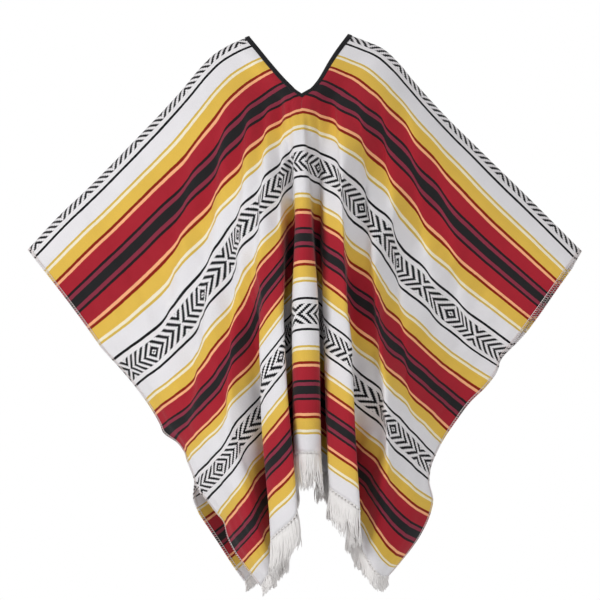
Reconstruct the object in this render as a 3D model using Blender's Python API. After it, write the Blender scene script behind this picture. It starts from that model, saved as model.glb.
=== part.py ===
# Serape poncho: one striped blanket folded over the shoulders, with a neck slit bound in tape
# and a knotted fringe on both hems. Metres, +Z up, the front faces -Y.
# The origin is midway between the two corners of the neck, on the shoulder fold.

import bpy
import numpy as np

# The blanket as it is cut
HALF_WIDTH = 0.700        # from the slit to a side edge, along the stripes
HALF_LENGTH = 0.895       # from the shoulder fold to a hem
SLIT = 0.172              # half the neck slit
CLOTH = 0.0026            # the wall
SEAM = 0.0003             # between the front and the back along the fold
REPEAT = 0.308            # one repeat of the stripes

# The binding tape
TAPE_WIDE = 0.008
TAPE_THICK = 0.0011
TAPE_CLEAR = 0.0008       # between the tape and the cloth inside it
TAPE_EDGE = 0.0008        # between the slit's edge and the tape round it

# The fringe
FRINGE = 0.078            # how far a lock hangs
CORNER_FRINGE = 0.5       # the share of it at the hem's ends, where the locks are drawn up
CORNER_REACH = 0.070      # how far from the hem's ends that is felt
STRIP_HIGH = 0.0035       # the strip that the locks' roots share
STRIP_THICK = 0.0024
LOCK_APART = 0.0115       # between two locks, seen from above
HEM_GAP = 0.0018

# How the fold over the shoulders and arms is rounded
FOLD_ROUND = 0.012
ARM_BULGE = 0.022         # how far the cloth stands out over an arm
ARM_ROUND = 0.20          # the length of cloth that goes round it
ARM_FROM = 0.25           # how far along the stripes the arm is reached

# The back hangs like the front, with shallower folds and a slight sway to one side
BACK_DEPTH = 0.90
BACK_SET = 0.006          # how much farther out it hangs
BACK_LOW = 0.003          # how much lower its hem is
SWAY = 0.006

# Where the back's side edges show past the front's
PEEK = 0.020
PEEK_FROM = 0.45          # how far along the stripes it begins, and grows to the edge
PEEK_HEM = (0.60, 0.70)   # left: it grows between these lengths from the fold, down to the hem
PEEK_ARM = (0.34, 0.24)   # right: it ends between these

# The shoulder fold: how far across and down it is from the neck's corner outward
SHOULDER = {
    "left": ((-98, 2), (-128, 14), (-160, 32), (-194, 64), (-214, 89), (-249, 130),
             (-322, 206), (-403, 290), (-465, 348), (-531, 419)),
    "right": ((98, -2), (128, 9), (158, 21), (190, 42), (203, 62), (240, 106),
              (294, 164), (402, 270), (480, 346), (555, 422)),
}
# The same for the middle of the first dark band, half a repeat below the fold
DARK_BAND = {
    "left": ((-8, 105), (-52, 131), (-91, 158), (-134, 212), (-191, 291), (-258, 358),
             (-321, 422), (-442, 534)),
    "right": ((14, 103), (72, 126), (109, 147), (159, 190), (230, 281), (320, 385),
              (430, 487), (480, 524)),
}
SLIT_END = (3, 117, 72)

# The lines that the cloth folds along, from the left edge to the right one.
# For three sections, the first and second pattern bands and the hem, a row gives:
# u (mm along the stripes from the slit), across, down and out (mm from the origin).
FOLDS = (
    # name, first band, second band, hem
    ("left edge", (-700, -352, 662, 10), (-700, -208, 886, 75), (-700, -86, 1055, 115)),
    ("left wave 1", (-595, -284, 619, 55), (-630, -165, 855, 118), (-655, -65, 1033, 148)),
    ("left wave 2", (-514, -227, 563, 68), (-555, -130, 815, 160), (-610, -51, 1020, 140)),
    ("left wave 3", (-433, -190, 508, 98), (-500, -108, 777, 148), (-565, -47, 1015, 118)),
    ("left rim", (-352, -142, 440, 104), (-443, -67, 733, 104), (-515, -39, 1008, 94)),
    ("left pocket", (-271, -120, 391, 128), (-390, -50, 707, 104), (-450, -25, 993, 100)),
    ("left ridge out", (-200, -83, 346, 150), (-335, -74, 686, 158), (-375, -53, 980, 186)),
    ("left ridge in", (-130, -48, 303, 138), (-256, -29, 619, 184), (-300, -5, 931, 212)),
    ("left valley out", (-85, -27, 277, 112), (-165, -35, 598, 90), (-200, -28, 874, 107)),
    ("left valley in", (-50, -14, 262, 104), (-95, -15, 580, 86), (-110, -11, 862, 94)),
    ("centre left", (-28, -8, 252, 134), (-20, -8, 548, 188), (-20, -5, 812, 180)),
    ("centre", (0, 5, 248, 146), (0, 11, 544, 200), (0, 15, 812, 194)),
    ("centre right", (18, 19, 251, 137), (30, 34, 545, 190), (30, 39, 812, 184)),
    ("right valley in", (53, 36, 261, 112), (100, 38, 553, 92), (115, 43, 847, 94)),
    ("right valley out", (66, 45, 264, 108), (165, 49, 563, 88), (205, 60, 860, 92)),
    ("right ridge in", (88, 58, 273, 124), (249, 53, 590, 164), (290, 63, 883, 178)),
    ("right ridge out", (134, 85, 296, 150), (333, 101, 629, 184), (370, 117, 921, 202)),
    ("right pocket", (165, 98, 312, 134), (385, 97, 658, 124), (440, 96, 938, 126)),
    ("right rim", (215, 118, 339, 104), (430, 107, 682, 108), (520, 104, 963, 92)),
    ("right wave 1", (296, 163, 387, 112), (500, 157, 728, 140), (600, 127, 992, 118)),
    ("right wave 2", (377, 194, 446, 82), (550, 177, 756, 158), (625, 141, 1008, 143)),
    ("right wave 3", (458, 238, 489, 78), (600, 200, 785, 126), (650, 160, 1026, 148)),
    ("right wave 4", (539, 295, 545, 48), (640, 224, 809, 112), (675, 178, 1033, 138)),
    ("right edge", (700, 397, 627, 10), (700, 260, 844, 68), (700, 196, 1033, 112)),
)
CENTRE = 11               # the fold line that the slit is on
FINE = range(4, 19)       # the lines with deep folds after them, which get a third column
BANDS = (REPEAT, 2 * REPEAT, HALF_LENGTH)

# Rows of the mesh down the cloth, closer over the fold and round the slit's end
ROWS = (0.0, 0.007, 0.020, 0.045, 0.080, 0.124, 0.163, SLIT, SLIT + TAPE_WIDE, 0.222, 0.262,
        0.308, 0.370, 0.440, 0.510, 0.580, 0.650, 0.730, 0.810, HALF_LENGTH)
SLIT_ROW = ROWS.index(SLIT)
UP = np.array([0, 0, 1])
FOLD_TILT = 0.9           # how much the wall's direction turns up in the row below the fold

MILKY = (0.85, 0.84, 0.82, 1.0)
BLACK = (0.02, 0.02, 0.02, 1.0)


def clear_scene():
    for thing in list(bpy.data.objects):
        bpy.data.objects.remove(thing, do_unlink=True)


def along(points, share):
    """The place that is a share of the way along a bent line."""
    line = np.array(points, float)
    steps = np.linalg.norm(np.diff(line, axis=0), axis=1)
    at = np.concatenate([[0], np.cumsum(steps)])
    here = np.clip(share, 0, 1) * at[-1]
    return np.array([np.interp(here, at, line[:, k]) for k in range(2)])


def grown(value, start, full):
    """0 before start and 1 past full."""
    return np.clip((value - start) / (full - start), 0, 1)


def eased(knots, values, at):
    """A smooth curve through values at knots, read at the places in at."""
    knots = np.asarray(knots, float)
    values = np.asarray(values, float)
    steps = np.diff(knots)
    slopes = np.diff(values, axis=0) / steps[:, None]
    tangents = np.empty_like(values)
    tangents[0] = slopes[0]
    tangents[-1] = slopes[-1]
    for i in range(1, len(knots) - 1):
        w = steps[i] / (steps[i - 1] + steps[i])
        tangents[i] = w * slopes[i - 1] + (1 - w) * slopes[i]
    out = []
    for x in at:
        i = int(np.clip(np.searchsorted(knots, x, side="right") - 1, 0, len(steps) - 1))
        h = steps[i]
        s = (x - knots[i]) / h
        out.append((2 * s**3 - 3 * s**2 + 1) * values[i] + (s**3 - 2 * s**2 + s) * h * tangents[i]
                   + (3 * s**2 - 2 * s**3) * values[i + 1] + (s**3 - s**2) * h * tangents[i + 1])
    return np.array(out)


def rounded(v):
    """The length of cloth, less what the rounding of the fold takes from it."""
    short = np.hypot(v, FOLD_ROUND) - FOLD_ROUND
    return short + FOLD_ROUND * min(v / REPEAT, 1)


def bulge(u, v):
    """How far the cloth stands off the fold's plane over a shoulder or an arm, in mm."""
    near = np.tanh(v / FOLD_ROUND) * 0.6 * FOLD_ROUND
    arm = ARM_BULGE * np.sin(np.pi * grown(v, 0, ARM_ROUND)) * grown(abs(u), 0, ARM_FROM)
    return 1000 * (near + arm)


def line_sections(fold, side):
    """The knots and the (u, across, down, out) of one fold line, from the shoulder to the hem."""
    first, second, hem = (np.array(row, float) for row in fold[1:])
    u = first[0]
    share = abs(u) / (1000 * HALF_WIDTH)
    top = along(SHOULDER[side], share)
    if u == 0:
        middle = np.array([u, *SLIT_END])
        knots = (0, SLIT, *BANDS)
    else:
        middle = np.array([u, *along(DARK_BAND[side], share), 0.5 * first[3]])
        knots = (0, REPEAT / 2, *BANDS)
    return knots, np.array([[u, *top, 0], middle, first, second, hem])


def line_places(fold, side):
    """One fold line's (u, v, across, down, out) at every row."""
    knots, values = line_sections(fold, side)
    straight = knots[1] if fold[1][0] == 0 else 0
    rows = []
    for v in ROWS:
        if straight and v <= straight:
            s = rounded(v) / rounded(straight)
            place = (1 - s) * values[0] + s * values[1]
        elif straight:
            place = eased(knots[1:], values[1:], [v])[0]
        else:
            place = eased(knots, values, [rounded(v)])[0]
        place[3] += bulge(place[0] / 1000, v)
        rows.append((place[0], 1000 * v, place[1], place[2], place[3]))
    return np.array(rows)


def fractions(index):
    """Where the mesh has columns between a fold line and the next one, as shares of the gap."""
    gap = abs(FOLDS[index + 1][1][0] - FOLDS[index][1][0]) / 1000
    if index == CENTRE - 1:
        return (0, 1 - TAPE_WIDE / gap)
    if index == CENTRE:
        return (0, TAPE_WIDE / gap)
    if index in FINE:
        return (0, 1 / 3, 2 / 3)
    return (0, 0.5)


def spread_row(places, first, last):
    """One row's points between two fold lines, on a smooth curve through the lines."""
    chords = np.sqrt(np.maximum(np.linalg.norm(np.diff(places[:, 2:], axis=0), axis=1), 1))
    knots = np.concatenate([[0], np.cumsum(chords)])
    at = []
    for i in range(first, last):
        for share in fractions(i):
            at.append(knots[i - first] + share * (knots[i - first + 1] - knots[i - first]))
    at.append(knots[-1])
    return eased(knots, places, at)


def cloth_rows():
    """For each row of the mesh, its left and right halves, which share the centre past the slit."""
    left = [line_places(fold, "left") for fold in FOLDS[:CENTRE + 1]]
    right = [line_places(fold, "right") for fold in FOLDS[CENTRE:]]
    halves = []
    for r in range(len(ROWS)):
        a = np.array([line[r] for line in left])
        b = np.array([line[r] for line in right])
        if r < SLIT_ROW:
            halves.append((spread_row(a, 0, CENTRE), spread_row(b, CENTRE, len(FOLDS) - 1)))
        else:
            whole = spread_row(np.concatenate([a, b[1:]]), 0, len(FOLDS) - 1)
            slit = sum(len(fractions(i)) for i in range(CENTRE))
            halves.append((whole[:slit + 1], whole[slit:]))
    return halves


def peek(u, v):
    """How far outward the back's side edges stand past the front's, in metres."""
    amount = grown(v, *PEEK_HEM) if u < 0 else grown(v, 0, 0.06) * grown(v, *PEEK_ARM)
    return np.sign(u) * PEEK * amount * grown(abs(u), PEEK_FROM, HALF_WIDTH)


def space(row, back):
    """Points in space from a row's (u, v, across, down, out)."""
    u, v, across, down, out = row.T / 1000
    if not back:
        return np.stack([across, -out - SEAM / 2 - CLOTH / 2, -down], axis=1)
    shift = np.array([peek(a, b) for a, b in zip(u, v)])
    sway = SWAY * grown(v, 0.30, 0.70) * np.sin(3 * u + 0.6)
    deep = BACK_DEPTH * out + BACK_SET * grown(v, 0, 0.40)
    low = BACK_LOW * grown(v, 0, HALF_LENGTH)
    return np.stack([across + shift + sway, deep + SEAM / 2 + CLOTH / 2, -down - low], axis=1)


def panel_points(back):
    """The middle surface: (left, right), each an array [row, column, xyz]."""
    rows = cloth_rows()
    left = np.array([space(a, back) for a, _ in rows])
    right = np.array([space(b, back) for _, b in rows])
    return left, right


def normals(left, right, back):
    """Unit normals of the middle surface, away from the wearer, for both halves."""
    found = []
    for part in (left, right):
        across = np.gradient(part, axis=1)
        down = np.gradient(part, axis=0)
        n = np.cross(across, down)
        n /= np.maximum(np.linalg.norm(n, axis=2, keepdims=True), 1e-9)
        found.append(n)
    a, b = found
    seam = a[SLIT_ROW:, -1] + b[SLIT_ROW:, 0]
    seam /= np.linalg.norm(seam, axis=1, keepdims=True)
    a[SLIT_ROW:, -1] = seam
    b[SLIT_ROW:, 0] = seam
    turn = -1 if not back else 1
    for n in (a, b):
        n *= turn * np.sign(np.mean(n[:, :, 1]))
        n[0] = UP
        n[1] = n[1] + FOLD_TILT * UP
        n[1] /= np.linalg.norm(n[1], axis=1, keepdims=True)
    return a, b


def fold_flat(part, back):
    """Moves the top row so that its inner and outer points both keep to their side of the fold."""
    side = 1 if back else -1
    part[0][:, 1] = side * (SEAM / 2)
    return part


def facing_out(points, faces):
    """The faces, turned over where they enclose a negative volume."""
    volume = 0
    for face in faces:
        a = points[face[0]]
        for i, j in zip(face[1:], face[2:]):
            volume += np.dot(a, np.cross(points[i], points[j]))
    return faces if volume > 0 else [list(reversed(face)) for face in faces]


def make_object(name, points, faces, colour):
    faces = facing_out(points, faces)
    mesh = bpy.data.meshes.new(name)
    mesh.from_pydata([tuple(p) for p in points], [], faces)
    mesh.validate()
    thing = bpy.data.objects.new(name, mesh)
    bpy.context.scene.collection.objects.link(thing)
    shade = bpy.data.materials.new(name + "_colour")
    shade.diffuse_color = colour
    mesh.materials.append(shade)
    return thing


def panel(name, back):
    """A panel's closed wall: an outer and an inner grid with rims, open along the slit."""
    left, right = panel_points(back)
    n_left, n_right = normals(left, right, back)
    left, right = fold_flat(left, back), fold_flat(right, back)
    rows, half = left.shape[:2]
    last = right.shape[1]
    width = half + last
    grid = np.concatenate([left, right], axis=1)
    out = np.concatenate([n_left, n_right], axis=1)
    outer = grid + out * CLOTH / 2
    inner = grid - out * CLOTH / 2
    points = np.concatenate([outer.reshape(-1, 3), inner.reshape(-1, 3)])
    inside = rows * width

    def at(r, c, layer):
        if c == half and r >= SLIT_ROW:
            c = half - 1
        return layer * inside + r * width + c

    faces = []
    for r in range(rows - 1):
        for c in range(width - 1):
            if c == half - 1:
                continue
            a = at(r, c, 0)
            b = at(r, c + 1, 0)
            d = at(r + 1, c, 0)
            e = at(r + 1, c + 1, 0)
            one = np.linalg.norm(outer[r, c] - outer[r + 1, c + 1])
            other = np.linalg.norm(outer[r, c + 1] - outer[r + 1, c])
            halves = ((a, b, e), (a, e, d)) if one < other else ((a, b, d), (b, e, d))
            for three in halves:
                faces.append(list(three))
                faces.append([i + inside for i in reversed(three)])
    border = [(0, c) for c in range(half)]
    border += [(r, half - 1) for r in range(1, SLIT_ROW + 1)]
    border += [(r, half) for r in range(SLIT_ROW - 1, -1, -1)]
    border += [(0, c) for c in range(half + 1, width)]
    border += [(r, width - 1) for r in range(1, rows)]
    border += [(rows - 1, c) for c in range(width - 2, -1, -1) if c != half]
    border += [(r, 0) for r in range(rows - 2, 0, -1)]
    for (i, j), (k, m) in zip(border, border[1:] + border[:1]):
        faces.append([at(k, m, 0), at(i, j, 0), at(i, j, 1), at(k, m, 1)])
    used = sorted({i for face in faces for i in face})
    place = {old: new for new, old in enumerate(used)}
    faces = [[place[i] for i in face] for face in faces]
    return make_object(name, points[used], faces, MILKY)


def tape_section(edge, inward, n_edge, n_in, reach):
    """Eight points of the tape's U, closed round the slit's edge."""
    outward = reach * (edge - inward) / np.linalg.norm(edge - inward)
    high = CLOTH / 2 + TAPE_CLEAR
    far = high + TAPE_THICK
    rim = edge + outward * TAPE_EDGE
    top = edge + outward * (TAPE_EDGE + TAPE_THICK)
    return np.array([inward + n_in * far, top + n_edge * far, top - n_edge * far,
                     inward - n_in * far, inward - n_in * high, rim - n_edge * high,
                     rim + n_edge * high, inward + n_in * high])


def tape_half(back):
    """The tape's sections on one panel, from the left corner of the neck to the right one."""
    left, right = panel_points(back)
    n_left, n_right = normals(left, right, back)
    down = [tape_section(left[r, -1], left[r, -2], n_left[r, -1], n_left[r, -2], 1)
            for r in range(SLIT_ROW)]
    end, below = left[SLIT_ROW, -1], left[SLIT_ROW + 1, -1]
    turn = tape_section(end, below, n_left[SLIT_ROW, -1], n_left[SLIT_ROW + 1, -1], 1.5)
    up = [tape_section(right[r, 0], right[r, 1], n_right[r, 0], n_right[r, 1], 1)
          for r in range(SLIT_ROW - 1, -1, -1)]
    return down + [turn] + up


def neck_binding():
    """One ring of tape: down the front slit and up, then down the back slit and up."""
    front, rear = tape_half(False), tape_half(True)
    left_top = (front[0] + rear[0]) / 2
    right_top = (front[-1] + rear[-1]) / 2
    ring = front[1:-1] + [right_top] + list(reversed(rear[1:-1])) + [left_top]
    points = np.concatenate(ring)
    count = len(ring)
    faces = []
    for s in range(count):
        t = (s + 1) % count
        for k in range(8):
            m = (k + 1) % 8
            faces.append([8 * s + k, 8 * t + k, 8 * t + m, 8 * s + m])
    return make_object("neck_binding", points, faces, BLACK)


def hem_line(back):
    """The hem from corner to corner at every lock's root: points, normals and the way down."""
    left, right = panel_points(back)
    n_left, n_right = normals(left, right, back)
    line = np.concatenate([left[-1], right[-1][1:]])
    above = np.concatenate([left[-2], right[-2][1:]])
    out = np.concatenate([n_left[-1], n_right[-1][1:]])
    steps = np.diff(line, axis=0)
    steps /= np.linalg.norm(steps, axis=1, keepdims=True)
    tangent = np.concatenate([steps[:1], steps[:-1] + steps[1:], steps[-1:]])
    down = np.cross(out, tangent)
    down *= np.sign(np.sum(down * (line - above), axis=1, keepdims=True))
    down /= np.linalg.norm(down, axis=1, keepdims=True)
    knots = np.arange(len(line))
    at = [0.0]
    for i, step in enumerate(np.linalg.norm(np.diff(line[:, :2], axis=0), axis=1)):
        parts = max(1, round(step / LOCK_APART))
        at += [i + (k + 1) / parts for k in range(parts)]
    mixed = [np.stack([np.interp(at, knots, a[:, k]) for k in range(3)], axis=1)
             for a in (line, out, down)]
    return mixed


def fringe(name, back):
    """A narrow strip under the hem with a tapering lock hanging from each step of it."""
    line, out, down = hem_line(back)
    points = []
    for p, n, d in zip(line, out, down):
        top = p + d * HEM_GAP
        low = p + d * (HEM_GAP + STRIP_HIGH)
        half = n * STRIP_THICK / 2
        points += [top + half, top - half, low - half, low + half]
    faces = [[0, 1, 2, 3]]
    count = len(line)
    for s in range(count - 1):
        a, b = 4 * s, 4 * (s + 1)
        for k in (0, 1, 3):
            m = (k + 1) % 4
            faces.append([a + k, b + k, b + m, a + m])
    end = 4 * (count - 1)
    faces.append([end + 3, end + 2, end + 1, end])
    run = np.concatenate([[0], np.cumsum(np.linalg.norm(np.diff(line, axis=0), axis=1))])
    for s in range(count - 1):
        root = [4 * s + 2, 4 * (s + 1) + 2, 4 * (s + 1) + 3, 4 * s + 3]
        from_end = min(run[s], run[-1] - run[s + 1]) / CORNER_REACH
        drawn_up = CORNER_FRINGE + (1 - CORNER_FRINGE) * min(from_end, 1)
        faces += lock(points, root, s, back, FRINGE * drawn_up)
    return make_object(name, points, faces, MILKY)


def lock(points, root, number, back, longest):
    """Adds one lock's points under its root and returns its faces."""
    corners = np.array([points[i] for i in root])
    middle = corners.mean(axis=0)
    turn = 2.4 * number + (1.1 if back else 0)
    length = longest * (0.90 + 0.10 * np.sin(1.7 * turn))
    lean = np.array([np.sin(turn), np.cos(1.3 * turn), 0])
    lean *= 0.2 * np.linalg.norm(corners[0, :2] - corners[1, :2]) / length
    faces, ring = [], root
    for share, wide in ((0.16, 0.40), (0.60, 0.46), (1.0, 0.26)):
        centre = middle + (np.array([0, 0, -1]) + lean) * length * share
        base = len(points)
        for corner in corners:
            away = corner - middle
            away[2] = 0
            points.append(centre + away * wide)
        fresh = list(range(base, base + 4))
        for k in range(4):
            m = (k + 1) % 4
            faces.append([ring[k], ring[m], fresh[m], fresh[k]])
        ring = fresh
    faces.append(ring)
    return faces


clear_scene()
panel("front_panel", False)
panel("back_panel", True)
neck_binding()
fringe("front_fringe", False)
fringe("back_fringe", True)
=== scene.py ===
import math
import random
from functools import lru_cache

import bpy
import numpy as np
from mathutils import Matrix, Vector


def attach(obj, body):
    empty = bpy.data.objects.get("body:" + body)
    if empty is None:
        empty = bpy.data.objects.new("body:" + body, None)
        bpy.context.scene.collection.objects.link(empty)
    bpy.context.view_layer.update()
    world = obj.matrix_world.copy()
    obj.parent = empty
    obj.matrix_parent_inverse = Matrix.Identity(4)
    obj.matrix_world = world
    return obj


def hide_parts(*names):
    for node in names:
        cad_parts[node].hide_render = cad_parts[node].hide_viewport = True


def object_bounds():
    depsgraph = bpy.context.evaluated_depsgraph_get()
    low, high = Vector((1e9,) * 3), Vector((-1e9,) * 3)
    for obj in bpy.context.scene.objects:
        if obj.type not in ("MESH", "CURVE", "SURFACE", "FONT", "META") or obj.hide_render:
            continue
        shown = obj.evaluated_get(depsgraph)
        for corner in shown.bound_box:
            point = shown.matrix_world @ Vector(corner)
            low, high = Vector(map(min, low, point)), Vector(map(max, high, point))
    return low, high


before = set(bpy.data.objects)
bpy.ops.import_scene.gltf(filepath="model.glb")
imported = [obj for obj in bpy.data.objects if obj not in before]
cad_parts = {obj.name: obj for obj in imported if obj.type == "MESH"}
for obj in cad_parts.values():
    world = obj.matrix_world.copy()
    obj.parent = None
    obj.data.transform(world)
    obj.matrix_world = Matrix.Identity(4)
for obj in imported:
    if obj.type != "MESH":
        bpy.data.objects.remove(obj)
cad_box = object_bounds()

# Serape poncho: a striped blanket folded over the shoulders, its neck slit bound in black tape,
# its sides overlocked and both hems knotted into a fringe. Metres, the front faces -Y.

# The blanket as it is cut, the same as the solids'
HALF_WIDTH = 0.700    # from the slit to a side edge, along the stripes
HALF_LENGTH = 0.895   # from the shoulder fold to a hem
SLIT = 0.172          # half the neck slit
CLOTH = 0.0022        # the wall that shows
SOLID_CLOTH = 0.0026  # the solid's wall, which the cloth is centred in
SEAM = 0.0003         # between the front and the back along the fold
SEAM_CLEAR = 0.0002   # what the cloth that shows adds to it on each side
REPEAT = 0.308        # one repeat of the stripes

# How the fold over the shoulders and arms is rounded
FOLD_ROUND = 0.012
FOLD_TILT = (1.2, 0.4)  # how much the wall's direction turns up in the first rows below it
ARM_BULGE = 0.022       # how far the cloth stands out over an arm
ARM_ROUND = 0.20        # the length of cloth that goes round it
ARM_FROM = 0.25         # how far along the stripes the arm is reached
UP = np.array([0, 0, 1])

# The back hangs like the front, with shallower folds and a slight sway to one side
BACK_DEPTH = 0.90
BACK_SET = 0.006  # how much farther out it hangs
BACK_LOW = 0.003  # how much lower its hem is
SWAY = 0.006

# Where the back's side edges show past the front's
PEEK_LEFT = 0.020
PEEK_RIGHT = 0.010       # less than the solids' 0.020, as the photograph has it
PEEK_FROM = 0.45         # how far along the stripes it begins, and grows to the edge
PEEK_HEM = (0.60, 0.70)  # left: it grows between these lengths from the fold
PEEK_ARM = (0.34, 0.24)  # right: it ends between these

# The binding tape
TAPE_WIDE = 0.008
TAPE_THICK = 0.0014
TAPE_CLEAR = 0.0003  # between the tape and the cloth inside it
TAPE_LIP = 0.0006    # from its inner edge to nearly its full thickness
TAPE_EDGE = 0.0008   # between the slit's edge and the tape round it
TURN_REACH = 1.2     # how much more it stands out where it turns at the slit's end

# The knotted fringe
FRINGE = 0.078
CORNER_FRINGE = 0.3  # the share of it at the hem's ends, where it is drawn up
CORNER_REACH = 0.200
KNOT_APART = 0.0080  # between two knots along the hem
KNOT_DOWN = 0.0026   # a knot's middle under the hem
YARN = 0.0012        # one yarn's radius
KNOT_RING = 1.25     # a knot's ring, in radii of a yarn
GATHER = 0.46        # the share of the knots' distance that a knot draws yarns from, each way
GATHERED = (-1, -0.4, 0.4, 1)  # where along it they leave the hem
ROOT_IN = 0.0015     # how far up in the cloth they begin
LOCK_YARNS = 5       # they come out of a knot; one more hangs between it and the next
YARN_PLACES = 9      # along a loose yarn
YARN_SPREAD = 0.09   # how much one yarn of a lock leans away from the next
CLUMP_SIZES = (3, 6)  # knots whose locks hang together
CLUMP_SWAY = 0.08    # how far a clump leans sideways, for each length down
CLUMP_PULL = 0.07    # how much each knot's lock leans to the clump's middle

# The sewing
STITCH_APART = 0.0048  # along the overlock
STITCH_SLANT = 0.0026
THREAD = 0.00055       # its radius
STITCH_IN = 0.0048     # how far in from the edge it is sewn
TAPE_STITCH_APART = 0.0042
TAPE_STITCH = 0.0028

# How finely the cloth is meshed
ROW_STEP = 0.0075
COLUMN_STEP = 0.0068
FOLD_ROWS = (0, 0.002, 0.004, 0.007, 0.011, 0.016, 0.022, 0.029)

# The shoulder fold: how far across and down it is from the neck's corner outward, in mm
SHOULDER = {
    "left": ((-98, 2), (-128, 14), (-160, 32), (-194, 64), (-214, 89), (-249, 130),
             (-322, 206), (-403, 290), (-465, 348), (-531, 419)),
    "right": ((98, -2), (128, 9), (158, 21), (190, 42), (203, 62), (240, 106),
              (294, 164), (402, 270), (480, 346), (555, 422)),
}
# The same for the middle of the first dark band, half a repeat below the fold
DARK_BAND = {
    "left": ((-8, 105), (-52, 131), (-91, 158), (-134, 212), (-191, 291), (-258, 358),
             (-321, 422), (-442, 534)),
    "right": ((14, 103), (72, 126), (109, 147), (159, 190), (230, 281), (320, 385),
              (430, 487), (480, 524)),
}
SLIT_END = (3, 117, 72)  # the slit's lower end: across, down and out

# The lines that the cloth folds along, from the left edge to the right one. For the first and
# second pattern bands and the hem: u along the stripes, then across, down and out, in mm.
FOLDS = (
    # name, first band, second band, hem
    ("left edge", (-700, -352, 662, 10), (-700, -208, 886, 75), (-700, -86, 1055, 115)),
    ("left wave 1", (-595, -284, 619, 55), (-630, -165, 855, 118), (-655, -65, 1033, 148)),
    ("left wave 2", (-514, -227, 563, 68), (-555, -130, 815, 160), (-610, -51, 1020, 140)),
    ("left wave 3", (-433, -190, 508, 98), (-500, -108, 777, 148), (-565, -47, 1015, 118)),
    ("left rim", (-352, -142, 440, 104), (-443, -67, 733, 104), (-515, -39, 1008, 94)),
    ("left pocket", (-271, -120, 391, 128), (-390, -50, 707, 104), (-450, -25, 993, 100)),
    ("left ridge out", (-200, -83, 346, 150), (-335, -74, 686, 158), (-375, -53, 980, 186)),
    ("left ridge in", (-130, -48, 303, 138), (-256, -29, 619, 184), (-300, -5, 931, 212)),
    ("left valley out", (-85, -27, 277, 112), (-165, -35, 598, 90), (-200, -28, 874, 107)),
    ("left valley in", (-50, -14, 262, 104), (-95, -15, 580, 86), (-110, -11, 862, 94)),
    ("centre left", (-28, -8, 252, 134), (-20, -8, 548, 188), (-20, -5, 812, 180)),
    ("centre", (0, 5, 248, 146), (0, 11, 544, 200), (0, 15, 812, 194)),
    ("centre right", (18, 19, 251, 137), (30, 34, 545, 190), (30, 39, 812, 184)),
    ("right valley in", (53, 36, 261, 112), (100, 38, 553, 92), (115, 43, 847, 94)),
    ("right valley out", (66, 45, 264, 108), (165, 49, 563, 88), (205, 60, 860, 92)),
    ("right ridge in", (88, 58, 273, 124), (249, 53, 590, 164), (290, 63, 883, 178)),
    ("right ridge out", (134, 85, 296, 150), (333, 101, 629, 184), (370, 117, 921, 202)),
    ("right pocket", (165, 98, 312, 134), (385, 97, 658, 124), (440, 96, 938, 126)),
    ("right rim", (215, 118, 339, 104), (430, 107, 682, 108), (520, 104, 963, 92)),
    ("right wave 1", (296, 163, 387, 112), (500, 157, 728, 140), (600, 127, 992, 118)),
    ("right wave 2", (377, 194, 446, 82), (550, 177, 756, 158), (625, 141, 1008, 143)),
    ("right wave 3", (458, 238, 489, 78), (600, 200, 785, 126), (650, 160, 1026, 148)),
    ("right wave 4", (539, 295, 545, 48), (640, 224, 809, 112), (675, 178, 1033, 138)),
    ("right edge", (700, 397, 627, 10), (700, 260, 844, 68), (700, 196, 1033, 112)),
)
CENTRE = 11                                # the centre line's place in the list
BANDS = (REPEAT, 2 * REPEAT, HALF_LENGTH)  # how far down the cloth both bands and the hem are


# The cloth's surface, worked out as the solids' is

def lengths_along(line):
    """How far along a line each of its points is."""
    return np.concatenate([[0], np.cumsum(np.linalg.norm(np.diff(line, axis=0), axis=1))])


def along(points, share):
    """The place that is a share of the way along a bent line."""
    line = np.array(points, float)
    at = lengths_along(line)
    here = np.clip(share, 0, 1) * at[-1]
    return np.array([np.interp(here, at, line[:, k]) for k in range(2)])


def grown(value, start, full):
    """0 before start and 1 past full."""
    return np.clip((value - start) / (full - start), 0, 1)


def eased(knots, values, at):
    """A smooth curve through values at knots, read at the places in at."""
    knots, values, at = (np.asarray(a, float) for a in (knots, values, at))
    steps = np.diff(knots)
    slopes = np.diff(values, axis=0) / steps[:, None]
    share = (steps[1:] / (steps[:-1] + steps[1:]))[:, None]
    inner = share * slopes[:-1] + (1 - share) * slopes[1:]
    tangents = np.concatenate([slopes[:1], inner, slopes[-1:]])
    i = np.clip(np.searchsorted(knots, at, side="right") - 1, 0, len(steps) - 1)
    h = steps[i][:, None]
    s = ((at - knots[i])[:, None]) / h
    return ((2 * s**3 - 3 * s**2 + 1) * values[i] + (s**3 - 2 * s**2 + s) * h * tangents[i]
            + (3 * s**2 - 2 * s**3) * values[i + 1] + (s**3 - s**2) * h * tangents[i + 1])


def rounded(v):
    """The length of cloth, less what the rounding of the fold takes from it."""
    short = np.hypot(v, FOLD_ROUND) - FOLD_ROUND
    return short + FOLD_ROUND * min(v / REPEAT, 1)


def bulge(u, v):
    """How far the cloth stands off the fold's plane over a shoulder or an arm, in mm."""
    near = np.tanh(v / FOLD_ROUND) * 0.6 * FOLD_ROUND
    arm = ARM_BULGE * np.sin(np.pi * grown(v, 0, ARM_ROUND)) * grown(abs(u), 0, ARM_FROM)
    return 1000 * (near + arm)


def line_sections(fold, side):
    """The knots and the (u, across, down, out) of one fold line, from the shoulder to the hem."""
    first, second, hem = (np.array(row, float) for row in fold[1:])
    u = first[0]
    share = abs(u) / (1000 * HALF_WIDTH)
    top = along(SHOULDER[side], share)
    if u == 0:
        middle = np.array([u, *SLIT_END])
        knots = (0, SLIT, *BANDS)
    else:
        middle = np.array([u, *along(DARK_BAND[side], share), 0.5 * first[3]])
        knots = (0, REPEAT / 2, *BANDS)
    return knots, np.array([[u, *top, 0], middle, first, second, hem])


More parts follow.
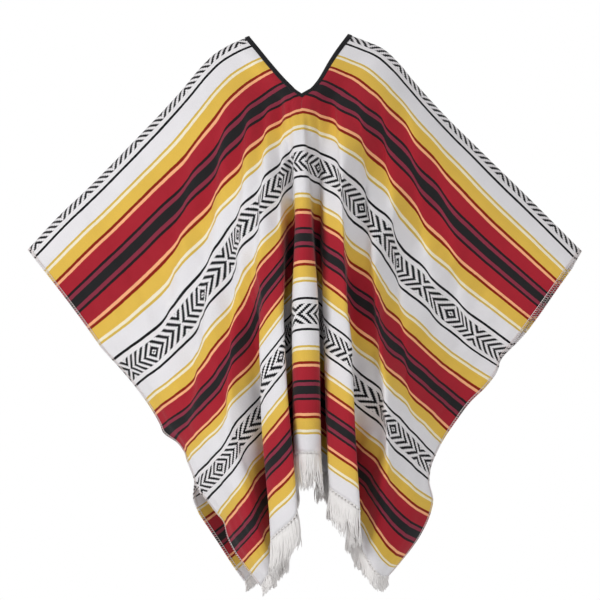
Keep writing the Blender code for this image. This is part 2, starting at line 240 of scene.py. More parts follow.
def line_places(fold, side, rows):
    """One fold line's (u, v, across, down, out) at every row."""
    knots, values = line_sections(fold, side)
    straight = knots[1] if fold[1][0] == 0 else 0
    found = []
    for v in rows:
        if straight and v <= straight:
            s = rounded(v) / rounded(straight)
            place = (1 - s) * values[0] + s * values[1]
        elif straight:
            place = eased(knots[1:], values[1:], [v])[0]
        else:
            place = eased(knots, values, [rounded(v)])[0]
        place[3] += bulge(place[0] / 1000, v)
        found.append((place[0], 1000 * v, *place[1:]))
    return np.array(found)


def row_knots(places):
    """How far along a row each fold line is: the roots of their distances, added up."""
    gaps = np.linalg.norm(np.diff(places[:, 2:], axis=0), axis=1)
    return np.concatenate([[0], np.cumsum(np.sqrt(np.maximum(gaps, 1)))])


def column_shares(first, last):
    """The columns between two fold lines: each one's line and its share of the gap after it."""
    found = []
    for i in range(first, last):
        longest = max(math.dist(FOLDS[i][k][1:], FOLDS[i + 1][k][1:]) for k in (1, 2, 3))
        count = max(3, math.ceil(longest / 1000 / COLUMN_STEP))
        found += [(i - first, c / count) for c in range(count)]
    return found + [(last - first - 1, 1.0)]


def mesh_rows():
    """The rows' places down the cloth, with one at the slit's end and closer ones at the fold."""
    top = FOLD_ROWS[:-1]
    start = FOLD_ROWS[-1]
    to_slit = np.linspace(start, SLIT, round((SLIT - start) / ROW_STEP) + 1)
    below = np.linspace(SLIT, HALF_LENGTH, round((HALF_LENGTH - SLIT) / ROW_STEP) + 1)
    return list(np.concatenate([top, to_slit, below[1:]])), len(top) + len(to_slit) - 1


def cloth_grid():
    """(left, right, slit row): each half an array [row, column, (u, v, across, down, out)]."""
    rows, slit_row = mesh_rows()
    left = [line_places(fold, "left", rows) for fold in FOLDS[:CENTRE + 1]]
    right = [line_places(fold, "right", rows) for fold in FOLDS[CENTRE:]]
    shares_left = column_shares(0, CENTRE)
    shares_right = column_shares(CENTRE, len(FOLDS) - 1)
    halves = []
    for r in range(len(rows)):
        a = np.array([line[r] for line in left])
        b = np.array([line[r] for line in right])
        if r < slit_row:
            halves.append((read_row(a, a, shares_left, 0), read_row(b, b, shares_right, 0)))
        else:
            whole = np.concatenate([a, b[1:]])
            halves.append((read_row(whole, a, shares_left, 0),
                           read_row(whole, b, shares_right, CENTRE)))
    return (np.array([a for a, _ in halves]), np.array([b for _, b in halves]), slit_row)


def read_row(curve, half, shares, skip):
    """The curve's points at the columns of one half, which starts skip lines along it."""
    knots = row_knots(curve)
    at = [knots[skip + i] + s * (knots[skip + i + 1] - knots[skip + i]) for i, s in shares]
    return eased(knots, curve, at)


def peek(u, v):
    """How far outward the back's side edges stand past the front's, in metres."""
    left = -PEEK_LEFT * grown(v, *PEEK_HEM)
    right = PEEK_RIGHT * grown(v, 0, 0.06) * grown(v, *PEEK_ARM)
    return np.where(u < 0, left, right) * grown(abs(u), PEEK_FROM, HALF_WIDTH)


def space(part, back):
    """Points in space from (u, v, across, down, out) in mm."""
    u, v, across, down, out = (part[..., k] / 1000 for k in range(5))
    gap = SEAM / 2 + SOLID_CLOTH / 2
    if not back:
        return np.stack([across, -out - gap, -down], axis=-1)
    sway = SWAY * grown(v, 0.30, 0.70) * np.sin(3 * u + 0.6)
    deep = BACK_DEPTH * out + BACK_SET * grown(v, 0, 0.40)
    low = BACK_LOW * grown(v, 0, HALF_LENGTH)
    return np.stack([across + peek(u, v) + sway, deep + gap, -down - low], axis=-1)


# Creases that fan out below the neck, from the photograph: stripes run steeply across each one.
# In mm: how far the cloth is drawn in to it, and how far it steps forward on the right of it
CREASES = (
    # upper end, lower end, half width, drawn in, step
    ((-11, 151), (-9, 303), 6, 1.5, 5.0),
    ((14, 206), (26, 381), 8, 2.5, -4.0),
    ((-30, 163), (-36, 352), 12, 3.0, 4.0),
    ((-64, 177), (-81, 444), 17, 5.2, 5.5),
    ((-103, 187), (-140, 740), 18, 5.2, 5.0),
    ((-149, 196), (-205, 720), 20, 4.5, 4.0),
    ((-212, 264), (-260, 576), 24, 4.0, 3.5),
    ((38, 171), (46, 352), 11, 2.4, 3.5),
    ((75, 167), (90, 444), 17, 5.2, 5.5),
    ((122, 177), (172, 810), 18, 5.6, 5.0),
    ((166, 167), (214, 700), 18, 5.0, 4.5),
    ((217, 186), (260, 518), 20, 4.0, 3.5),
    ((276, 264), (324, 576), 24, 3.5, 3.0),
)
CREASE_FADE = 70  # mm past each end

# The side edges swing in and out, and the hem's corners hang low; the solids' run straighter.
# A row gives a length down the cloth and how far the edge moves across and down there, in mm.
LEFT_EDGE = ((250, 0, 0), (308, 12, 0), (400, 19, 0), (440, 17, 0), (462, 14, 0), (485, 29, 0),
             (509, 32, 0), (551, 21, -8), (585, 18, 0), (616, 9, 0), (647, 14, 2), (680, 20, 8),
             (710, 20, 6), (745, 12, 14), (770, 10, 18), (835, 8, 18), (895, 13, 20))
BACK_LEFT_EDGE = LEFT_EDGE[:10] + ((647, 0, 0), (700, 0, 0), (770, 4, 10), (850, 4, 16),
                                   (895, 4, 16))
RIGHT_EDGE = ((0, 0, 0), (50, -2, 0), (145, -1, 0), (203, 2, 0), (268, 5, 0), (319, 4, 0),
              (346, 13, 0), (402, 12, 0), (430, 4, 0), (485, -2, 0), (541, -6, 0), (580, -5, 0),
              (630, 0, 0), (655, 6, 6), (680, 20, 18), (705, 23, 22), (770, 15, 29),
              (840, -9, 33), (895, -21, 21))

# Where along the stripes the moves across and down begin and are full
ACROSS_OVER = {"left": (600, 700), "right": (540, 700)}
DOWN_OVER = {"left": (430, 600), "right": (540, 670)}

# The slit's edges bow outward and meet in a round end: how far down, and how far across, mm
NECK_BOW = {
    "left": ((2, 0), (30, -2), (54, -4), (93, -4), (106, -2), (117, 3), (170, 0)),
    "right": ((2, 0), (30, 2), (54, 6), (70, 10), (93, 14), (107, 12), (117, 3), (170, 0)),
}
BOW_TO = 120  # how far along the stripes a bow is felt, mm


def read_moves(table, at):
    """The moves in a table's rows, at each place in an array."""
    rows = np.array(table, float)
    place = np.clip(at, rows[0, 0], rows[-1, 0]).ravel()
    return eased(rows[:, 0], rows[:, 1:], place).reshape(*at.shape, -1)


def edges_moved(part, side, back):
    """The (u, v, across, down, out) of a half, with its side edge and its slit edge moved."""
    part = part.copy()
    along_stripes = abs(part[..., 0])
    bow = read_moves(NECK_BOW[side], part[..., 3])[..., 0]
    part[..., 2] += bow * np.clip(1 - along_stripes / BOW_TO, 0, 1)
    table = RIGHT_EDGE if side == "right" else BACK_LEFT_EDGE if back else LEFT_EDGE
    moves = read_moves(table, part[..., 1])
    part[..., 2] += moves[..., 0] * grown(along_stripes, *ACROSS_OVER[side])**2
    part[..., 3] += moves[..., 1] * grown(along_stripes, *DOWN_OVER[side])
    return part


def creased(part, back):
    """The (u, v, across, down, out) of a half, with the creases; the back's are mirrored."""
    part = part.copy()
    side = -1 if back else 1
    for (top_x, top_z), (low_x, low_z), wide, drawn, step in CREASES:
        across, down = part[..., 2], part[..., 3]
        share = (down - top_z) / (low_z - top_z)
        centre = side * (top_x + share * (low_x - top_x))
        fade = (grown(down, top_z - CREASE_FADE, top_z)
                * grown(down, low_z + CREASE_FADE, low_z))
        q = (across - centre) / wide
        turn = fade * math.sqrt(2 * math.e) * q * np.exp(-q * q)
        part[..., 2] = across - drawn * turn
        part[..., 4] += step * turn
    return part


# Shallow slack in the weave: how far apart its long and short ripples are, and how high
LONG_RIPPLE, LONG_HIGH = 0.060, 0.0009
SHORT_RIPPLE, SHORT_HIGH = 0.027, 0.0004
SLACK_BEGINS = (0.03, 0.23)  # it grows between these lengths from the fold
SLACK_FROM = 0.30            # how far along the stripes it is full
SLACK_ENDS = 0.05            # above the hem


def slackened(part, points, outward):
    """The points with the slack. The numbers inside the sines only make the ripples wander."""
    u, v = part[..., 0] / 1000, part[..., 1] / 1000
    grow = grown(v, *SLACK_BEGINS) * grown(v, HALF_LENGTH, HALF_LENGTH - SLACK_ENDS)
    long = np.sin(2 * np.pi * (u / LONG_RIPPLE + 0.35 * np.sin(5.1 * v + 3 * u)))
    short = np.sin(2 * np.pi * (u / SHORT_RIPPLE + 0.5 * np.sin(7.7 * v - 6 * u) + v / 0.35))
    amount = grow * grown(abs(u), 0, SLACK_FROM) * (LONG_HIGH * long + SHORT_HIGH * short)
    return points + outward * amount[..., None]


def unit(a):
    """The vectors of an array, each scaled to length 1."""
    return a / np.maximum(np.linalg.norm(a, axis=-1, keepdims=True), 1e-9)


def outward_normals(left, right, slit_row, back):
    """Unit normals away from the wearer, the same on both halves along the centre."""
    found = []
    for part in (left, right):
        found.append(unit(np.cross(np.gradient(part, axis=1), np.gradient(part, axis=0))))
    seam = unit(found[0][slit_row:, -1] + found[1][slit_row:, 0])
    found[0][slit_row:, -1] = seam
    found[1][slit_row:, 0] = seam
    turn = 1 if back else -1
    for n in found:
        n *= turn * np.sign(np.mean(n[:, :, 1]))
        n[0] = UP
        for row, tilt in enumerate(FOLD_TILT, 1):
            n[row] = unit(n[row] + tilt * UP)
    return found


@lru_cache(maxsize=None)
def cloth_points(back):
    """A panel's (u, v), middle points and normals, each as two halves, and the slit's row."""
    left, right, slit_row = cloth_grid()
    left = creased(edges_moved(left, "left", back), back)
    right = creased(edges_moved(right, "right", back), back)
    points = [space(left, back), space(right, back)]
    outward = outward_normals(*points, slit_row, back)
    points = [slackened(part, p, n) for part, p, n in zip((left, right), points, outward)]
    outward = outward_normals(*points, slit_row, back)
    return (left[..., :2], right[..., :2]), points, outward, slit_row


# Meshes

def new_object(name, data):
    """An object linked into the scene."""
    made = bpy.data.objects.new(name, data)
    bpy.context.scene.collection.objects.link(made)
    return made


def new_piece(name, points, faces, material, node=None):
    """A smooth mesh that rides on the body, with the node it replaces."""
    mesh = bpy.data.meshes.new(name)
    mesh.from_pydata([tuple(p) for p in points], [], [tuple(f) for f in faces])
    mesh.validate()
    mesh.materials.append(material)
    mesh.polygons.foreach_set("use_smooth", [True] * len(mesh.polygons))
    piece = new_object(name, mesh)
    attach(piece, "root")
    if node:
        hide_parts(node)
    return piece


def give_uv(piece, name, pairs):
    """A UV map from one pair of numbers for each vertex."""
    layer = piece.data.uv_layers.new(name=name)
    index = np.zeros(len(piece.data.loops), int)
    piece.data.loops.foreach_get("vertex_index", index)
    layer.data.foreach_set("uv", np.asarray(pairs, np.float32)[index].ravel())


def facing_out(points, faces):
    """The faces, turned over where they enclose a negative volume."""
    p = np.asarray(points)
    volume = 0
    for face in faces:
        for i, j in zip(face[1:], face[2:]):
            volume += np.dot(p[face[0]], np.cross(p[i], p[j]))
    return faces if volume > 0 else [tuple(reversed(face)) for face in faces]


def panel_border(rows, half, width, slit_row):
    """The (row, column) places round a panel's rim, with both edges of the slit."""
    border = [(0, c) for c in range(half)]
    border += [(r, half - 1) for r in range(1, slit_row + 1)]
    border += [(r, half) for r in range(slit_row - 1, -1, -1)]
    border += [(0, c) for c in range(half + 1, width)]
    border += [(r, width - 1) for r in range(1, rows)]
    border += [(rows - 1, c) for c in range(width - 2, -1, -1) if c != half]
    return border + [(r, 0) for r in range(rows - 2, 0, -1)]


def striped_panel(name, node, back, material):
    """A panel's closed wall: two grids joined by a rim, open along the slit."""
    (uv_left, uv_right), (left, right), (n_left, n_right), slit_row = cloth_points(back)
    rows, half = left.shape[:2]
    width = half + right.shape[1]
    grid = np.concatenate([left, right], axis=1)
    grid[0, :, 1] = (1 if back else -1) * (SEAM / 2 + SEAM_CLEAR)
    out = np.concatenate([n_left, n_right], axis=1)
    uv = np.concatenate([uv_left, uv_right], axis=1).reshape(-1, 2) / 1000
    layers = [grid + out * CLOTH / 2, grid - out * CLOTH / 2]
    points = np.concatenate([layer.reshape(-1, 3) for layer in layers])
    inside = rows * width

    def at(r, c, layer=0):
        """A place's number; the halves share the centre column below the slit."""
        if c == half and r >= slit_row:
            c = half - 1
        return layer * inside + r * width + c

    faces = []
    for r in range(rows - 1):
        for c in range(width - 1):
            if c == half - 1:
                continue
            face = (at(r, c), at(r, c + 1), at(r + 1, c + 1), at(r + 1, c))
            faces.append(face)
            faces.append(tuple(i + inside for i in reversed(face)))
    border = panel_border(rows, half, width, slit_row)
    for (i, j), (k, m) in zip(border, border[1:] + border[:1]):
        faces.append((at(k, m), at(i, j), at(i, j, 1), at(k, m, 1)))
    used = np.unique(np.concatenate(faces))
    place = np.full(len(points), -1)
    place[used] = np.arange(len(used))
    faces = [tuple(place[list(face)]) for face in faces]
    piece = new_piece(name, points[used], facing_out(points[used], faces), material,
                      node)
    give_uv(piece, "cloth", np.concatenate([uv, uv])[used])
    return piece


def read_line(values, run, places):
    """The values at places along a line, where run says how far along each one is."""
    return np.stack([np.interp(places, run, values[:, k]) for k in range(3)], axis=1)


def tube(points, radius, sides, uv_start=0.0):
    """A closed tube along points: its vertices, faces and (length, turn) pairs."""
    line = np.asarray(points, float)
    count = len(line)
    tangent = unit(np.gradient(line, axis=0))
    helper = np.array([0.31, 0.95, 0.05])
    side = unit(np.cross(tangent, helper))
    up = np.cross(side, tangent)
    radius = np.broadcast_to(np.asarray(radius, float), (count,))
    angle = 2 * np.pi * np.arange(sides) / sides
    cosine, sine = np.cos(angle)[None, :, None], np.sin(angle)[None, :, None]
    ring = cosine * side[:, None] + sine * up[:, None]
    vertices = (line[:, None] + ring * radius[:, None, None]).reshape(-1, 3)
    faces = [(r * sides + k, r * sides + (k + 1) % sides, (r + 1) * sides + (k + 1) % sides,
              (r + 1) * sides + k) for r in range(count - 1) for k in range(sides)]
    faces.append(tuple(range(sides - 1, -1, -1)))
    faces.append(tuple((count - 1) * sides + k for k in range(sides)))
    length = lengths_along(line)
    pairs = [(uv_start + length[r], k / sides) for r in range(count) for k in range(sides)]
    return vertices, faces, pairs


class Bundle:
    """Many small closed forms that become one piece."""

    def __init__(self):
        self.points, self.faces, self.pairs, self.count = [], [], [], 0

    def add(self, vertices, faces, pairs):
        self.points.append(np.asarray(vertices))
        self.faces += [tuple(i + self.count for i in face) for face in faces]
        self.pairs += list(pairs)
        self.count += len(vertices)

    def piece(self, name, material, node=None, slot=None):
        made = new_piece(name, np.concatenate(self.points), self.faces, material, node)
        give_uv(made, "yarn", self.pairs)
        return made


def tape_section(edge, inward, n_edge, n_in, reach):
    """The tape's U round the slit's edge, with rounded lips: a loop of points."""
    out = reach * unit(edge - inward)
    along_in = -unit(edge - inward)
    high = CLOTH / 2 + TAPE_CLEAR
    n = unit(n_edge + n_in)
    face = ((TAPE_WIDE, 0.0), (TAPE_WIDE - TAPE_LIP, 0.8), (TAPE_WIDE * 0.5, 1.0),
            (TAPE_EDGE, 1.0))
    loop = []
    for deep, lift in face:
        loop.append(edge + along_in * deep + n * (high + TAPE_THICK * lift))
    for turn in (60, 30, 0, -30, -60):
        a = math.radians(turn)
        loop.append(edge + out * (TAPE_EDGE + TAPE_THICK * math.cos(a))
                    + n * ((high + TAPE_THICK * 0.8) * math.sin(a)))
    for deep, lift in reversed(face):
        loop.append(edge + along_in * deep - n * (high + TAPE_THICK * lift))
    loop.append(edge + along_in * 0.002 - n * high)
    loop.append(edge + out * 0.0004)
    loop.append(edge + along_in * 0.002 + n * high)
    return np.array(loop)


def tape_half(back):
    """The tape's sections on one panel, from the left corner of the neck to the right one."""
    _, (left, right), (n_left, n_right), slit_row = cloth_points(back)

    def inner(part, r, c, step):
        """The point of row r that is about a tape's width in from column c."""
        k = c
        while np.linalg.norm(part[r, k] - part[r, c]) < TAPE_WIDE * 0.8:
            k += step
        return part[r, k]

    last = left.shape[1] - 1
    down = [tape_section(left[r, -1], inner(left, r, last, -1), n_left[r, -1], n_left[r, -2], 1)
            for r in range(slit_row - 1)]
    end, below = left[slit_row, -1], left[slit_row + 2, -1]
    turn = tape_section(end, below, n_left[slit_row, -1], n_left[slit_row + 1, -1], TURN_REACH)
    up = [tape_section(right[r, 0], inner(right, r, 0, 1), n_right[r, 0], n_right[r, 1], 1)
          for r in range(slit_row - 2, -1, -1)]
    return down + [turn] + up


def neck_tape(material):
    """One ring of tape: down the front slit and up, then down the back slit and up."""
    front, rear = tape_half(False), tape_half(True)
    left_top = (front[0] + rear[0]) / 2
    right_top = (front[-1] + rear[-1]) / 2
    ring = front[1:-1] + [right_top] + rear[-2:0:-1] + [left_top]
    around = len(ring[0])
    length = lengths_along(np.array([loop.mean(axis=0) for loop in ring]))
    points = np.concatenate(ring)
    faces = []
    for s in range(len(ring)):
        t = (s + 1) % len(ring)
        for k in range(around):
            m = (k + 1) % around
            faces.append((around * s + k, around * t + k, around * t + m, around * s + m))
    piece = new_piece("neck_tape", points, facing_out(points, faces), material,
                      "neck_binding")
    give_uv(piece, "tape", [(s, k / around) for s in length for k in range(around)])
    return piece


def hem_places(back):
    """Each knot's place on the hem, its ways down, out and along, and how near an end it is."""
    _, (left, right), (n_left, n_right), _ = cloth_points(back)
    line = np.concatenate([left[-1], right[-1][1:]])
    above = np.concatenate([left[-2], right[-2][1:]])
    out = np.concatenate([n_left[-1], n_right[-1][1:]])
    tangent = unit(np.gradient(line, axis=0))
    down = np.cross(out, tangent)
    down *= np.sign(np.sum(down * (line - above), axis=1, keepdims=True))
    run = lengths_along(line)
    count = round(run[-1] / KNOT_APART)
    at = (np.arange(count) + 0.5) * run[-1] / count
    mixed = [read_line(a, run, at) for a in (line, unit(down), out, tangent)]
    return mixed, np.minimum(at, run[-1] - at)


def clump_rows(count, draw):
    """For each knot: the middle of its clump, how the clump sways and its share of the length."""
    clumps = []
    while len(clumps) < count:
        size = draw.randint(*CLUMP_SIZES)
        middle = len(clumps) + (size - 1) / 2
        sway = draw.uniform(-CLUMP_SWAY, CLUMP_SWAY)
        clumps += [(middle, sway, draw.uniform(0.76, 1.0))] * size
    return clumps


def loose_yarn(start, fall, lean, spread, t, n, length, draw):
    """One yarn that falls from start, leans and spreads on its way down and curls a little."""
    phase = draw.uniform(0, 6.28)
    curl = draw.uniform(0.0008, 0.0024)
    shares = np.linspace(0, 1, YARN_PLACES)
    places = []
    for s in shares:
        wave = curl * s * math.sin(phase + 7 * s)
        twist = curl * s * math.cos(phase + 5.5 * s)
        way = unit(fall * (1 - s) - UP * s + (lean + spread * (1 - 0.6 * s)) * s)
        places.append(start + way * length * s + t * wave + n * twist)
    radius = YARN * np.interp(shares, [0, 0.1, 0.8, 1], [0.9, 1.1, 1.0, 0.45])
    return tube(places, radius, 6, draw.random())


def knotted_fringe(name, node, back, material):
    """Knots under the hem, each with yarns coming into it and a loose lock of yarns below."""
    draw = random.Random(11 if back else 7)
    (line, down, out, tangent), from_end = hem_places(back)
    bundle = Bundle()
    clumps = clump_rows(len(line), draw)
    for i in range(len(line)):
        p, d, n, t = line[i], unit(down[i]), unit(out[i]), unit(tangent[i])
        fall = unit(d * 0.5 - UP)
        knot = p + d * KNOT_DOWN
        for k in GATHERED:
            root = p + t * k * KNOT_APART * GATHER - d * ROOT_IN
            bend = (root + knot) / 2 + n * 0.0002 * k
            bundle.add(*tube([root, bend, knot], YARN * 0.95, 5, draw.random()))
        bundle.add(*knot_form(knot, t, n, fall, draw))
        middle, sway, share = clumps[i]
        lean = t * (sway + CLUMP_PULL * (middle - i)) + n * draw.uniform(-0.05, 0.06)
        drawn_up = CORNER_FRINGE + (1 - CORNER_FRINGE) * min(from_end[i] / CORNER_REACH, 1)
        for k in range(LOCK_YARNS + 1):
            length = FRINGE * drawn_up * share * draw.uniform(0.88, 1.0) - KNOT_DOWN
            spread = t * (k % LOCK_YARNS - 2) * YARN_SPREAD + n * draw.uniform(-0.06, 0.06)
            start = knot + fall * 0.0015 + t * (k - 2) * YARN * 1.15
            if k == LOCK_YARNS:
                start = p + t * KNOT_APART * 0.5 - d * 0.001
            bundle.add(*loose_yarn(start, fall, lean, spread, t, n, length, draw))
    return bundle.piece(name, material, node, "fringe_yarn")


def knot_form(centre, t, n, fall, draw):
    """A small knot: a fat ring of yarn wound across the lock, a little tilted."""
    ring = []
    tilt = draw.uniform(-0.4, 0.4)
    for a in np.linspace(0, 2 * np.pi, 9):
        ring.append(centre + (t * math.cos(a) + n * math.sin(a)) * YARN * KNOT_RING
                    + fall * YARN * tilt * math.cos(a))
    return tube(ring, YARN * 0.95, 5, draw.random())


def overlock(name, back, material):
    """Slanting stitches over both side edges, with a chain that runs in from the edge."""
    _, (left, right), (n_left, n_right), _ = cloth_points(back)
    bundle = Bundle()
    lift = CLOTH / 2 + 0.0006
    for part, outward, edge, inner in ((left, n_left, 0, 1), (right, n_right, -1, -2)):
        line = part[1:, edge]
        inward = unit(part[1:, inner] - line)
        n = outward[1:, edge]
        run = lengths_along(line)
        at = np.arange(0.002, run[-1] - 0.002, STITCH_APART)
        for s in at:
            ends = [s, s + STITCH_SLANT]
            p, q = read_line(line, run, ends)
            i, j = read_line(inward, run, ends)
            m, k = read_line(n, run, ends)
            # From the inner end over the front, round the edge and back to it behind
            over = [q + j * STITCH_IN + k * lift * 0.7, (p + q) / 2 + i * 0.003 + m * lift,
                    p + i * 0.0002 + m * lift * 0.8, p - i * 0.0008,
                    p + i * 0.0002 - m * lift * 0.8, (p + q) / 2 + i * 0.003 - m * lift,
                    q + j * STITCH_IN - k * lift * 0.7]
            bundle.add(*tube(over, THREAD, 4, s))
        for face in (1, -1):
            chain = (read_line(line, run, at) + read_line(inward, run, at) * STITCH_IN
                     + read_line(n, run, at) * lift * face)
            bundle.add(*tube(chain, 0.0006, 4))
    return bundle.piece(name, material, None, "fringe_yarn")


def tape_stitches(material):
    """A row of thread stitches along the tape, near its inner edge, on the side that shows."""
    bundle = Bundle()
    for back in (False, True):
        loops = np.array(tape_half(back))
        lift = unit(loops[:, 2] - loops[:, -1])
        line = loops[:, 1] * 0.72 + loops[:, 2] * 0.28 + lift * 0.0004
        run = lengths_along(line)
        for s in np.arange(0.003, run[-1] - 0.005, TAPE_STITCH_APART):
            places = read_line(line, run, [s, s + TAPE_STITCH / 2, s + TAPE_STITCH])
            places[1] += lift[min(len(lift) - 1, np.searchsorted(run, s))] * 0.0002
            bundle.add(*tube(places, 0.00035, 4, s))
    return bundle.piece("tape_stitches", material, None, "black_tape")


# Materials

MATH = "ShaderNodeMath"
NOISE = "ShaderNodeTexNoise"
MIX = "ShaderNodeMix"
BUMP = "ShaderNodeBump"


def linear(hex_colour):
    """A linear colour from an sRGB hex one."""
    parts = [int(hex_colour[i:i + 2], 16) / 255 for i in (1, 3, 5)]
    low = [c / 12.92 if c <= 0.04045 else ((c + 0.055) / 1.055) ** 2.4 for c in parts]
    return (*low, 1.0)


def empty_tree(owner):
    """The node tree of a material or a world, with nothing in it."""
    owner.use_nodes = True
    owner.node_tree.nodes.clear()
    return owner.node_tree


def add(tree, kind, inputs=(), **settings):
    """A node with its settings and inputs, in order or by name. A node feeds its first output."""
    node = tree.nodes.new(kind)
    for key, value in settings.items():
        setattr(node, key, value)
    for key, value in inputs.items() if isinstance(inputs, dict) else enumerate(inputs):
        if isinstance(value, bpy.types.Node):
            value = value.outputs[0]
        if isinstance(value, bpy.types.NodeSocket):
            tree.links.new(value, node.inputs[key])
        else:
            node.inputs[key].default_value = value
    return node


def mapped_material(name, uv_map):
    """A material, its tree, its UV map's node and the map's two numbers."""
    material = bpy.data.materials.new(name)
    tree = empty_tree(material)
    uv = add(tree, "ShaderNodeUVMap", uv_map=uv_map)
    return material, tree, uv, add(tree, "ShaderNodeSeparateXYZ", (uv,)).outputs


# Blotches and grain are scaled per metre

# The chart of one half repeat: where each stripe ends, in mm from the pattern band's middle
STRIPES = (
    (28.6, "#E5E2E4"),    # white, with the pattern on it
    (33.4, "#131216"),    # black line
    (63.5, "#E4E2E5"),    # white
    (67.5, "#D3B250"),    # thin mustard
    (73.0, "#EFE6CB"),    # cream
    (96.0, "#DFB84F"),    # yellow
    (101.5, "#8A2012"),   # rust
    (107.0, "#F5AF80"),   # peach
    (133.0, "#A42230"),   # red
    (138.0, "#1F1A1D"),   # thin black
    (145.5, "#872F42"),   # rose
    (154.5, "#222123"),   # black
)
HALF_REPEAT_MM = 500 * REPEAT
HEM_PLAIN = 8.0          # the last mm of the cloth are white, without the black line
PATTERN_BLACK = "#151519"
PATTERN_HALF = 20.5      # half the height of the pattern, mm
CHEVRONS = 5             # from an X to the next diamond
HALF_PERIOD = 81.0       # the distance between these, mm
LATE_HALF_PERIOD = 84.1  # the same in the second band, which is woven a little looser
X_AT = -28.0             # where an X is, in the band at the shoulder and the first band
LATE_X_AT = -16.0        # the same in the second band
SLANT = 1.1              # how far a chevron leans along the band for each mm up it
FIRST_DARK = 2.0         # from an X's middle to the first chevron, mm
DOT = 2.2                # the dot in a diamond's middle, mm
STEP = 3.0               # the steps that the chevrons' edges are woven in
WARP = 1.5               # between two warp ribs; drawn coarser than the real 1.1 mm, to show
WEFT = 1.3               # between two picks
JITTER = 1.3             # how far the stripes' edges waver from pick to pick, mm
BOW = 2.4                # and from one side of the cloth to the other
BLOTCHES = 0.12          # how uneven the dye is, as a share of the colour
STREAKS = 0.30           # how uneven the yarn is
TWILL_ALONG = 900        # the tape's ribs in a metre
TWILL_ROUND = 18         # and round it


def place_in_repeat(tree, uv, v):
    """How far a place is from the middle of the nearest pattern band, in mm. Picks aren't quite
    straight: there is a fine jitter of the yarn and a slow bow across the cloth."""
    uneven = add(tree, NOISE, {"Vector": uv, "Scale": 160.0, "Detail": 2.0})
    slack = add(tree, NOISE, {"Vector": uv, "Scale": 9.0, "Detail": 1.0})
    jitter = add(tree, MATH, (uneven, JITTER, -JITTER / 2), operation="MULTIPLY_ADD")
    bow = add(tree, MATH, (slack, BOW, -BOW / 2), operation="MULTIPLY_ADD")
    bowed = add(tree, MATH, (v, bow), operation="ADD")
    at = add(tree, MATH, (bowed, jitter), operation="ADD")
    ended = add(tree, MATH, (at, 1000 * HALF_LENGTH - HEM_PLAIN), operation="MINIMUM")
    return add(tree, MATH, (ended, HALF_REPEAT_MM), operation="PINGPONG")


def stripe_colours(tree, t):
    """The chart's colour at a place in the repeat."""
    share = add(tree, MATH, (t, HALF_REPEAT_MM), operation="DIVIDE")
    striped = add(tree, "ShaderNodeValToRGB", (share,))
    striped.color_ramp.interpolation = "CONSTANT"
    stops = striped.color_ramp.elements
    start = 0.0
    for i, (end, colour) in enumerate(STRIPES):
        stop = stops[i] if i < 2 else stops.new(start)   # a new ramp has two stops
        stop.position = start
        stop.color = linear(colour)
        start = end / HALF_REPEAT_MM
    return striped


def woven_pattern(tree, u, v, t):
    """1 on the pattern's dark yarn: chevrons that point at each X and close into a diamond
    midway to the next X. Each place gets a number that rises by 1 from chevron to chevron."""
    late = add(tree, MATH, (v, 3 * HALF_REPEAT_MM), operation="GREATER_THAN")
    origin = add(tree, MATH, (late, LATE_X_AT - X_AT, X_AT), operation="MULTIPLY_ADD")
    half = add(tree, MATH, (late, LATE_HALF_PERIOD - HALF_PERIOD, HALF_PERIOD),
               operation="MULTIPLY_ADD")
    from_origin = add(tree, MATH, (u, origin), operation="SUBTRACT")
    periods = add(tree, MATH, (from_origin, half), operation="DIVIDE")
    from_x = add(tree, MATH, (periods, 1.0), operation="PINGPONG")
    shifted = add(tree, MATH, (t, 0.5 * STEP), operation="ADD")
    stepped = add(tree, MATH, (shifted, STEP), operation="SNAP")
    chevron = HALF_PERIOD / CHEVRONS
    base = 10    # a whole number that keeps the places' numbers above 0
    lean = add(tree, MATH, (stepped, -SLANT / chevron, base - FIRST_DARK / chevron),
               operation="MULTIPLY_ADD")
    number = add(tree, MATH, (from_x, float(CHEVRONS), lean), operation="MULTIPLY_ADD")
    turn = add(tree, MATH, (number,), operation="FRACT")
    dark = add(tree, MATH, (turn, 0.5), operation="LESS_THAN")
    dot_from = base + CHEVRONS - (FIRST_DARK + DOT) / chevron
    dot = add(tree, MATH, (number, dot_from), operation="GREATER_THAN")
    either = add(tree, MATH, (dark, dot), operation="MAXIMUM")
    in_band = add(tree, MATH, (t, PATTERN_HALF), operation="LESS_THAN")
    return add(tree, MATH, (either, in_band), operation="MULTIPLY")


def unevenly_dyed(tree, uv, fibre, chart):
    """The chart's colours with soft blotches, and with streaks a yarn high along the weft."""
    blotch = add(tree, NOISE, {"Vector": uv, "Scale": 14.0, "Detail": 3.0})
    broad = add(tree, MATH, (blotch, BLOTCHES, 1 - BLOTCHES / 2), operation="MULTIPLY_ADD")
    tone = add(tree, MATH, (fibre, STREAKS, -STREAKS / 2), operation="MULTIPLY_ADD")
    level = add(tree, MATH, (broad, tone), operation="ADD")
    grey = add(tree, "ShaderNodeCombineColor", (level, level, level))
    return add(tree, MIX, {0: 1.0, 6: chart, 7: grey}, data_type="RGBA",
               blend_type="MULTIPLY").outputs[2]


